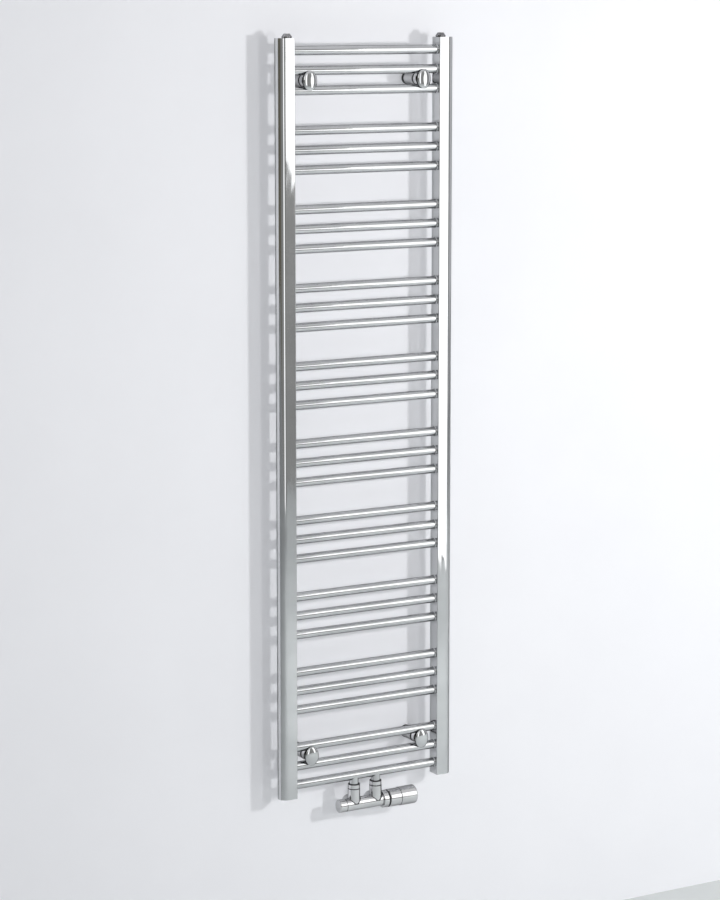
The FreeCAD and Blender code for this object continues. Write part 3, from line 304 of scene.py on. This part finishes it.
def bracket_cap_shells():
    """Domed oval caps: steep at the rim, nearly flat at the crown, with a flat back."""
    low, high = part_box("bracket_caps")
    half_x = CAP_HALF_WIDTH
    half_z = CAP_HALF_HEIGHT
    crown = (high.y - low.y) - CAP_EDGE
    mesh = bmesh.new()
    for centre_x in (low.x + half_x, high.x - half_x):
        for centre_z in (low.z + half_z, high.z - half_z):
            profile = [(CAP_CROWN, 0.0), (0.9, 0.0), (1.0, 0.0), (1.0, CAP_EDGE)]
            for step in range(1, CAP_RINGS + 1):
                share = max(math.cos(0.5 * math.pi * step / CAP_RINGS), CAP_CROWN)
                rise = crown * (1.0 - share * share) ** CAP_ROUNDING
                profile.append((share, CAP_EDGE + rise))
            rings = []
            for share, rise in profile:
                rings.append([Vector((centre_x + half_x * share * math.cos(angle),
                                      high.y - rise,
                                      centre_z + half_z * share * math.sin(angle)))
                              for angle in around(CAP_STEPS)])
            rows = add_rings(mesh, rings)
            mesh.faces.new(rows[-1])
            mesh.faces.new(list(reversed(rows[0])))
    bmesh.ops.recalc_face_normals(mesh, faces=mesh.faces)
    return piece("bracket_cap_shells", mesh, finishes["chrome_brackets"],
                 replaced=("bracket_caps",))


bracket_cap_shells()

FILLET = 0.0011
FILLET_STEPS = 5
FILLET_ROOT = 0.0003
RAIL_STEPS = 48
RAIL_COUNT = 30


def rail_weld_fillets():
    """Small concave brazing fillets where every rail enters its header."""
    header_low, header_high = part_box("right_header")
    faces_at = {"left": -header_low.x, "right": header_low.x}
    for side, face_x in faces_at.items():
        inward = 1.0 if side == "left" else -1.0
        mesh = bmesh.new()
        for number in range(1, RAIL_COUNT + 1):
            low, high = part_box("rail_%02d" % number)
            radius = 0.5 * (high.z - low.z)
            axis_y = 0.5 * (high.y + low.y)
            axis_z = 0.5 * (high.z + low.z)
            rings = []
            for step in range(FILLET_STEPS + 1):
                turn = 0.5 * math.pi * step / FILLET_STEPS
                out = radius + FILLET * (1.0 - math.sin(turn))
                along = FILLET * (1.0 - math.cos(turn))
                rings.append([Vector((face_x + inward * along,
                                      axis_y + out * math.cos(angle),
                                      axis_z + out * math.sin(angle)))
                              for angle in around(RAIL_STEPS)])
            inner = radius - FILLET_ROOT
            for along in (FILLET, 0.0):
                rings.append([Vector((face_x + inward * along,
                                      axis_y + inner * math.cos(angle),
                                      axis_z + inner * math.sin(angle)))
                              for angle in around(RAIL_STEPS)])
            rings.append(rings[0])
            add_rings(mesh, rings)
        bmesh.ops.remove_doubles(mesh, verts=mesh.verts, dist=0.00001)
        bmesh.ops.recalc_face_normals(mesh, faces=mesh.faces)
        piece("rail_weld_fillets_" + side, mesh, finishes["chrome_rails"])


rail_weld_fillets()

PORT_RADIUS = 0.0126
SADDLE_STEPS = 96
SADDLE_FILLET = 0.0016
SADDLE_ROOT = 0.0004
SADDLE_THIN = 0.35
SADDLE_LEAN = 0.985
SADDLE_FLOOR = 0.02


def port_saddle_fillets():
    """Cast fillets along the curve where the two upper ports meet the valve body, in darkened
    chrome: painted shade along the joint line.
    """
    cap_low, cap_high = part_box("lockshield_cap")
    nut_low, nut_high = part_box("union_nuts")
    body_radius = 0.5 * (cap_high.z - cap_low.z)
    axis_y = 0.5 * (cap_high.y + cap_low.y)
    axis_z = 0.5 * (cap_high.z + cap_low.z)
    reach = 0.5 * (nut_high.y - nut_low.y)
    mesh = bmesh.new()
    for centre_x in (nut_low.x + reach, nut_high.x - reach):
        rings = []
        for step in range(FILLET_STEPS + 3):
            ring = []
            for angle in around(SADDLE_STEPS):
                across = math.cos(angle)
                front = math.sin(angle)
                lean = PORT_RADIUS * front / body_radius
                lean = min(max(lean, -SADDLE_LEAN), SADDLE_LEAN)
                meet = body_radius * math.sqrt(1.0 - lean * lean)
                grow = SADDLE_FILLET * (SADDLE_THIN + (1.0 - SADDLE_THIN) * abs(across))
                if step <= FILLET_STEPS:
                    turn = 0.5 * math.pi * step / FILLET_STEPS
                    out = PORT_RADIUS + grow * (1.0 - math.sin(turn))
                    rise = grow * (1.0 - math.cos(turn))
                else:
                    out = PORT_RADIUS - SADDLE_ROOT
                    rise = grow if step == FILLET_STEPS + 1 else 0.0
                y = out * front
                base = body_radius * math.sqrt(max(1.0 - (y / body_radius) ** 2,
                                                   SADDLE_FLOOR))
                height = base if step == 0 else meet
                ring.append(Vector((centre_x + out * across, axis_y + y,
                                    axis_z + height + rise)))
            rings.append(ring)
        rings.append(rings[0])
        add_rings(mesh, rings)
    bmesh.ops.remove_doubles(mesh, verts=mesh.verts, dist=0.00001)
    bmesh.ops.recalc_face_normals(mesh, faces=mesh.faces)
    return piece("port_saddle_fillets", mesh, painted_shade_chrome)


port_saddle_fillets()

RING_STEPS = 64
BAND_BEVEL = 0.15
MERGE_SMALL = 0.000005


def band(mesh, centre, axis, start, end, outer, inner):
    """Closed square-edged ring round an axis: X, Y or Z."""
    edge = BAND_BEVEL * (end - start)
    outline = [(inner, start), (outer - edge, start), (outer, start + edge),
               (outer, end - edge), (outer - edge, end), (inner, end), (inner, start)]
    rings = []
    for radius, along in outline:
        ring = []
        for angle in around(RING_STEPS):
            first = radius * math.cos(angle)
            second = radius * math.sin(angle)
            if axis == "X":
                ring.append(Vector((along, centre[1] + first, centre[2] + second)))
            elif axis == "Y":
                ring.append(Vector((centre[0] + first, along, centre[2] + second)))
            else:
                ring.append(Vector((centre[0] + first, centre[1] + second, along)))
        rings.append(ring)
    add_rings(mesh, rings)


def painted_shade_piece(name, mesh):
    """Turns a mesh of bands into a black piece: painted shade in the gaps and grooves between
    parts.
    """
    bmesh.ops.remove_doubles(mesh, verts=mesh.verts, dist=MERGE_SMALL)
    bmesh.ops.recalc_face_normals(mesh, faces=mesh.faces)
    return piece(name, mesh, finishes["seal_rubber"])


HEAD_GAP_LENGTH = 0.0033
HEAD_GAP_INNER = 0.0125
HEAD_GAP_OUTER = 0.0175
CLEARANCE = 0.00015
# Play between a part and a black band of painted shade.
BAND_PLAY = 0.00005


def head_gap_shade_band():
    """Black band in the groove between the union nut and the sleeve of the head: painted shade.
    """
    nut_low, nut_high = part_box("head_union_nut")
    base_low, base_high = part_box("head_base")
    centre = 0.5 * (base_low + base_high)
    mesh = bmesh.new()
    band(mesh, centre, "X", nut_high.x + CLEARANCE, nut_high.x + HEAD_GAP_LENGTH,
         HEAD_GAP_OUTER, HEAD_GAP_INNER)
    painted_shade_piece("head_gap_shade_band", mesh)


# Sizes of the black bands of painted shade at the union nuts.
NUT_BAND_OUTER = 0.0122
NUT_BAND_INNER = 0.0112
STUB_BAND_OUTER = 0.0121
STUB_BAND_INNER = 0.0072
BAND_HEIGHT = 0.0009


def union_nut_shade_bands():
    """Black bands in the gaps below and above the two union nuts: painted shade."""
    low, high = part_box("union_nuts")
    radius = 0.5 * (high.y - low.y)
    middle_y = 0.5 * (high.y + low.y)
    mesh = bmesh.new()
    for centre_x in (low.x + radius, high.x - radius):
        centre = (centre_x, middle_y, 0.0)
        band(mesh, centre, "Z", low.z - BAND_HEIGHT, low.z - BAND_PLAY,
             NUT_BAND_OUTER, NUT_BAND_INNER)
        band(mesh, centre, "Z", high.z + BAND_PLAY, high.z + BAND_HEIGHT,
             STUB_BAND_OUTER, STUB_BAND_INNER)
    painted_shade_piece("union_nut_shade_bands", mesh)


SLEEVE_RADIUS = 0.0125
JOINT_OUTER = 0.0127
JOINT_INNER = 0.0112
JOINT_LENGTH = 0.0019
SLEEVE_WRAP = 0.0034
FOOT_WRAP = 0.0042


def bracket_joint_shade_bands():
    """Black rings round both ends of each sleeve, at its rear cup and at its wall base: painted
    shade.
    """
    low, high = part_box("bracket_sleeves")
    proud = SLEEVE_RADIUS + 0.5 * CLEARANCE
    mesh = bmesh.new()
    for centre_x in (low.x + SLEEVE_RADIUS, high.x - SLEEVE_RADIUS):
        for centre_z in (low.z + SLEEVE_RADIUS, high.z - SLEEVE_RADIUS):
            centre = (centre_x, 0.0, centre_z)
            band(mesh, centre, "Y", low.y - JOINT_LENGTH, low.y - BAND_PLAY,
                 JOINT_OUTER, JOINT_INNER)
            band(mesh, centre, "Y", low.y, low.y + SLEEVE_WRAP, JOINT_OUTER, proud)
            band(mesh, centre, "Y", high.y - FOOT_WRAP, high.y, JOINT_OUTER, proud)
    painted_shade_piece("bracket_joint_shade_bands", mesh)


head_gap_shade_band()
union_nut_shade_bands()
bracket_joint_shade_bands()

SPRING_TURNS = 6
SPRING_WIRE = 0.00045
SPRING_STEPS = 36
SPRING_SIDES = 12


def pin_spring_coil():
    """Coil spring of the valve pin."""
    low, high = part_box("pin_spring")
    axis_y = 0.5 * (high.y + low.y)
    axis_z = 0.5 * (high.z + low.z)
    coil = 0.5 * (high.z - low.z) - SPRING_WIRE
    start = low.x + SPRING_WIRE
    end = high.x - SPRING_WIRE
    total = SPRING_TURNS * SPRING_STEPS
    rings = []
    for step in range(total + 1):
        turn = 2.0 * math.pi * step / SPRING_STEPS
        out = Vector((0.0, math.cos(turn), math.sin(turn)))
        middle = Vector((start + (end - start) * step / total, axis_y, axis_z)) + coil * out
        rings.append([middle + SPRING_WIRE * (math.cos(angle) * out
                                              + math.sin(angle) * Vector((1.0, 0.0, 0.0)))
                      for angle in around(SPRING_SIDES)])
    mesh = bmesh.new()
    rows = add_rings(mesh, rings)
    mesh.faces.new(rows[-1])
    mesh.faces.new(list(reversed(rows[0])))
    bmesh.ops.recalc_face_normals(mesh, faces=mesh.faces)
    spring = piece("pin_spring_coil", mesh, finishes["spring_steel"],
                   replaced=("pin_spring",), rides=False)
    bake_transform(spring)


pin_spring_coil()


# ---------------------------------------------------------------- stage

def sheet_of(name, corners, material):
    """One flat stage panel through its corners."""
    mesh = bpy.data.meshes.new(name)
    mesh.from_pydata(corners, [], [tuple(range(len(corners)))])
    mesh.materials.append(material)
    panel = bpy.data.objects.new(name, mesh)
    bpy.context.scene.collection.objects.link(panel)
    return panel


MATT = (0.6, 0.7)
PAINT_GRAIN = 0.00002


def one_sided(material):
    """Lets the wall be seen from the room only, so that views from behind show the object."""
    tree = material.node_tree
    output = next(n for n in tree.nodes if n.type == "OUTPUT_MATERIAL")
    shader = next(n for n in tree.nodes if n.type == "BSDF_PRINCIPLED")
    geometry = tree.nodes.new("ShaderNodeNewGeometry")
    clear = tree.nodes.new("ShaderNodeBsdfTransparent")
    mix = tree.nodes.new("ShaderNodeMixShader")
    tree.links.new(geometry.outputs["Backfacing"], mix.inputs["Fac"])
    tree.links.new(shader.outputs["BSDF"], mix.inputs[1])
    tree.links.new(clear.outputs["BSDF"], mix.inputs[2])
    tree.links.new(mix.outputs["Shader"], output.inputs["Surface"])


wall_paint = plain("wall_paint", (0.858, 0.863, 0.893), (0.873, 0.878, 0.908),
                   MATT, PAINT_GRAIN)
floor_paint = plain("floor_paint", (0.64, 0.665, 0.66), (0.67, 0.695, 0.69),
                    MATT, PAINT_GRAIN)
one_sided(wall_paint)

STAGE_HALF = 12.0
WALL_TOP = 6.0
FLOOR_EDGE = -4.86
WINDOW_FOOT = -3.22
WINDOW_CORNER_FAR = 2.33
WINDOW_CORNER_NEAR = 2.10
wall_corners = [(-STAGE_HALF, WALL_GAP, FLOOR_HEIGHT), (STAGE_HALF, WALL_GAP, FLOOR_HEIGHT),
                (STAGE_HALF, WALL_GAP, WALL_TOP), (-STAGE_HALF, WALL_GAP, WALL_TOP)]
floor_outline = [(-STAGE_HALF, FLOOR_EDGE), (WINDOW_CORNER_FAR, FLOOR_EDGE),
                 (WINDOW_CORNER_NEAR, WINDOW_FOOT), (STAGE_HALF, WINDOW_FOOT),
                 (STAGE_HALF, STAGE_HALF), (-STAGE_HALF, STAGE_HALF)]
sheet_of("stage_wall", wall_corners, wall_paint)
sheet_of("stage_floor", [(x, y, FLOOR_HEIGHT) for x, y in floor_outline], floor_paint)


# ---------------------------------------------------------------- light

def softbox(name, place, aim, width, height, power, shadow=True):
    """Area light at place that looks at aim. Polished metal mirrors the room below instead."""
    lamp = bpy.data.lights.new(name, "AREA")
    lamp.shape = "RECTANGLE"
    lamp.size = width
    lamp.size_y = height
    lamp.energy = power
    lamp.use_shadow = shadow
    box = bpy.data.objects.new(name, lamp)
    box.location = place
    look = (Vector(aim) - Vector(place)).to_track_quat("-Z", "Y")
    box.rotation_euler = look.to_euler()
    box.visible_camera = False
    box.visible_glossy = False
    bpy.context.scene.collection.objects.link(box)
    return box


softbox("key_light", (1.25, -2.60, 0.55), (0.0, 0.0, 0.0), 0.22, 0.22, 26.0)
softbox("front_light", (0.25, -4.00, 0.50), (0.0, 0.0, 0.0), 0.35, 0.35, 16.0)
softbox("wash_light", (3.40, -3.60, 2.20), (0.3, 0.0, 0.2), 3.20, 3.00, 118.0, shadow=False)


WINDOW_PLANE = -3.10
WINDOW_OUTLINE = [(2.02, -1.12), (2.90, -1.12), (2.75, 2.40), (1.93, 2.40),
                  (1.72, 1.45), (1.38, 0.88), (1.36, 0.40)]
WINDOW_BRIGHTNESS = 1.8
SKYLIGHT_PLANE = -3.60
SKYLIGHT_OUTLINE = [(-4.40, 0.95), (-1.70, 0.95), (-1.70, 3.00), (-4.40, 3.00)]
SKYLIGHT_BRIGHTNESS = 1.5


def lit_panel(name, plane, outline, brightness):
    """Panel that only polished metal mirrors: it gives the long white reflections."""
    glow = bpy.data.materials.new(name + "_glow")
    tree = Tree(glow)
    output = tree.add("ShaderNodeOutputMaterial")
    shine = tree.add("ShaderNodeEmission", Strength=brightness)
    tree.link(shine.outputs["Emission"], output.inputs["Surface"])
    panel = sheet_of(name, [(x, plane, z) for x, z in outline], glow)
    panel.visible_camera = False
    panel.visible_diffuse = False
    panel.visible_shadow = False


lit_panel("stage_window", WINDOW_PLANE, WINDOW_OUTLINE, WINDOW_BRIGHTNESS)
lit_panel("stage_skylight", SKYLIGHT_PLANE, SKYLIGHT_OUTLINE, SKYLIGHT_BRIGHTNESS)

# Shades of the room as polished metal mirrors it, by compass bearing: bearing 0 looks from the
# wall into the room, positive to the right. The bright strip is a doorway.
DARK_OLIVE = (0.14, 0.13, 0.105)
ROOM_RING = [
    (-180.0, (0.62, 0.62, 0.63)),
    (-124.0, (0.62, 0.62, 0.63)),
    (-104.0, (0.36, 0.36, 0.35)),
    (-88.0, DARK_OLIVE),
    (-56.0, DARK_OLIVE),
    (-42.0, (0.27, 0.27, 0.26)),
    (-13.0, (0.30, 0.30, 0.30)),
    (-10.0, (1.60, 1.60, 1.60)),
    (2.0, (1.60, 1.60, 1.60)),
    (5.0, (0.24, 0.24, 0.24)),
    (22.0, (0.34, 0.34, 0.33)),
    (54.0, (0.26, 0.26, 0.27)),
    (64.0, (0.72, 0.72, 0.74)),
    (180.0, (0.66, 0.66, 0.68)),
]
CEILING_SHADE = (0.66, 0.66, 0.67, 1.0)
CEILING_FROM = 20.0
CEILING_TO = 34.0


def turn_of_degrees(tree, source, low, high):
    """Degrees low to high mapped to 0 to 1."""
    node = tree.add("ShaderNodeMapRange")
    node.inputs["From Min"].default_value = low
    node.inputs["From Max"].default_value = high
    tree.link(source, node.inputs["Value"])
    return node.outputs["Result"]


def maths(tree, operation, source, number=None):
    """One arithmetic step on a value, with an optional fixed number."""
    node = tree.add("ShaderNodeMath", operation=operation)
    tree.link(source, node.inputs[0])
    if number is not None:
        node.inputs[1].default_value = number
    return node.outputs["Value"]


world = bpy.data.worlds.new("pale_room")
bpy.context.scene.world = world
sky = Tree(world)
sky_out = sky.add("ShaderNodeOutputWorld")
sky_where = sky.add("ShaderNodeTexCoord")
sky_split = sky.add("ShaderNodeSeparateXYZ")
sky.link(sky_where.outputs["Generated"], sky_split.inputs["Vector"])
toward_room = maths(sky, "MULTIPLY", sky_split.outputs["Y"], -1.0)
around_room = sky.add("ShaderNodeMath", operation="ARCTAN2")
sky.link(sky_split.outputs["X"], around_room.inputs[0])
sky.link(toward_room, around_room.inputs[1])
bearing = maths(sky, "DEGREES", around_room.outputs["Value"])
level = maths(sky, "DEGREES", maths(sky, "ARCSINE", sky_split.outputs["Z"]))
ring = sky.add("ShaderNodeValToRGB")
fill_ramp(ring, [((stop + 180.0) / 360.0, shade) for stop, shade in ROOM_RING])
sky.link(turn_of_degrees(sky, bearing, -180.0, 180.0), ring.inputs["Fac"])
mirrored = sky.add("ShaderNodeMix", data_type="RGBA")
sky.link(turn_of_degrees(sky, level, CEILING_FROM, CEILING_TO), mirrored.inputs[0])
sky.link(ring.outputs["Color"], mirrored.inputs[6])
mirrored.inputs[7].default_value = CEILING_SHADE
mirror_light = sky.add("ShaderNodeBackground", Strength=1.0)
sky.link(mirrored.outputs[2], mirror_light.inputs["Color"])
sky_ramp = sky.add("ShaderNodeValToRGB")
sky.link(turn_of_degrees(sky, level, -90.0, 90.0), sky_ramp.inputs["Fac"])
sky_ramp.color_ramp.elements[0].color = (0.21, 0.21, 0.216, 1.0)
sky_ramp.color_ramp.elements[1].color = (0.37, 0.37, 0.375, 1.0)
soft_light = sky.add("ShaderNodeBackground", Strength=1.0)
sky.link(sky_ramp.outputs["Color"], soft_light.inputs["Color"])
backdrop_light = sky.add("ShaderNodeBackground", Color=(0.82, 0.83, 0.84, 1.0), Strength=1.0)
sky_path = sky.add("ShaderNodeLightPath")
glossy_mix = sky.add("ShaderNodeMixShader")
sky.link(sky_path.outputs["Is Glossy Ray"], glossy_mix.inputs["Fac"])
sky.link(soft_light.outputs["Background"], glossy_mix.inputs[1])
sky.link(mirror_light.outputs["Background"], glossy_mix.inputs[2])
sky_mix = sky.add("ShaderNodeMixShader")
sky.link(sky_path.outputs["Is Camera Ray"], sky_mix.inputs["Fac"])
sky.link(glossy_mix.outputs["Shader"], sky_mix.inputs[1])
sky.link(backdrop_light.outputs["Background"], sky_mix.inputs[2])
sky.link(sky_mix.outputs["Shader"], sky_out.inputs["Surface"])


# ---------------------------------------------------------------- camera

CAMERA_PLACE = (-2.481, -4.444, 0.827)
CAMERA_DIP = 8.01
CAMERA_TURN = -29.37

lens = bpy.data.cameras.new("camera")
lens.lens = 103.1
lens.sensor_width = 36.0
lens.shift_y = -0.1
lens.clip_end = 60.0
camera = bpy.data.objects.new("camera", lens)
camera.location = CAMERA_PLACE
camera.rotation_euler = (math.radians(90.0 - CAMERA_DIP), 0.0, math.radians(CAMERA_TURN))
bpy.context.scene.collection.objects.link(camera)
bpy.context.scene.camera = camera
bpy.context.scene.view_settings.view_transform = "Standard"
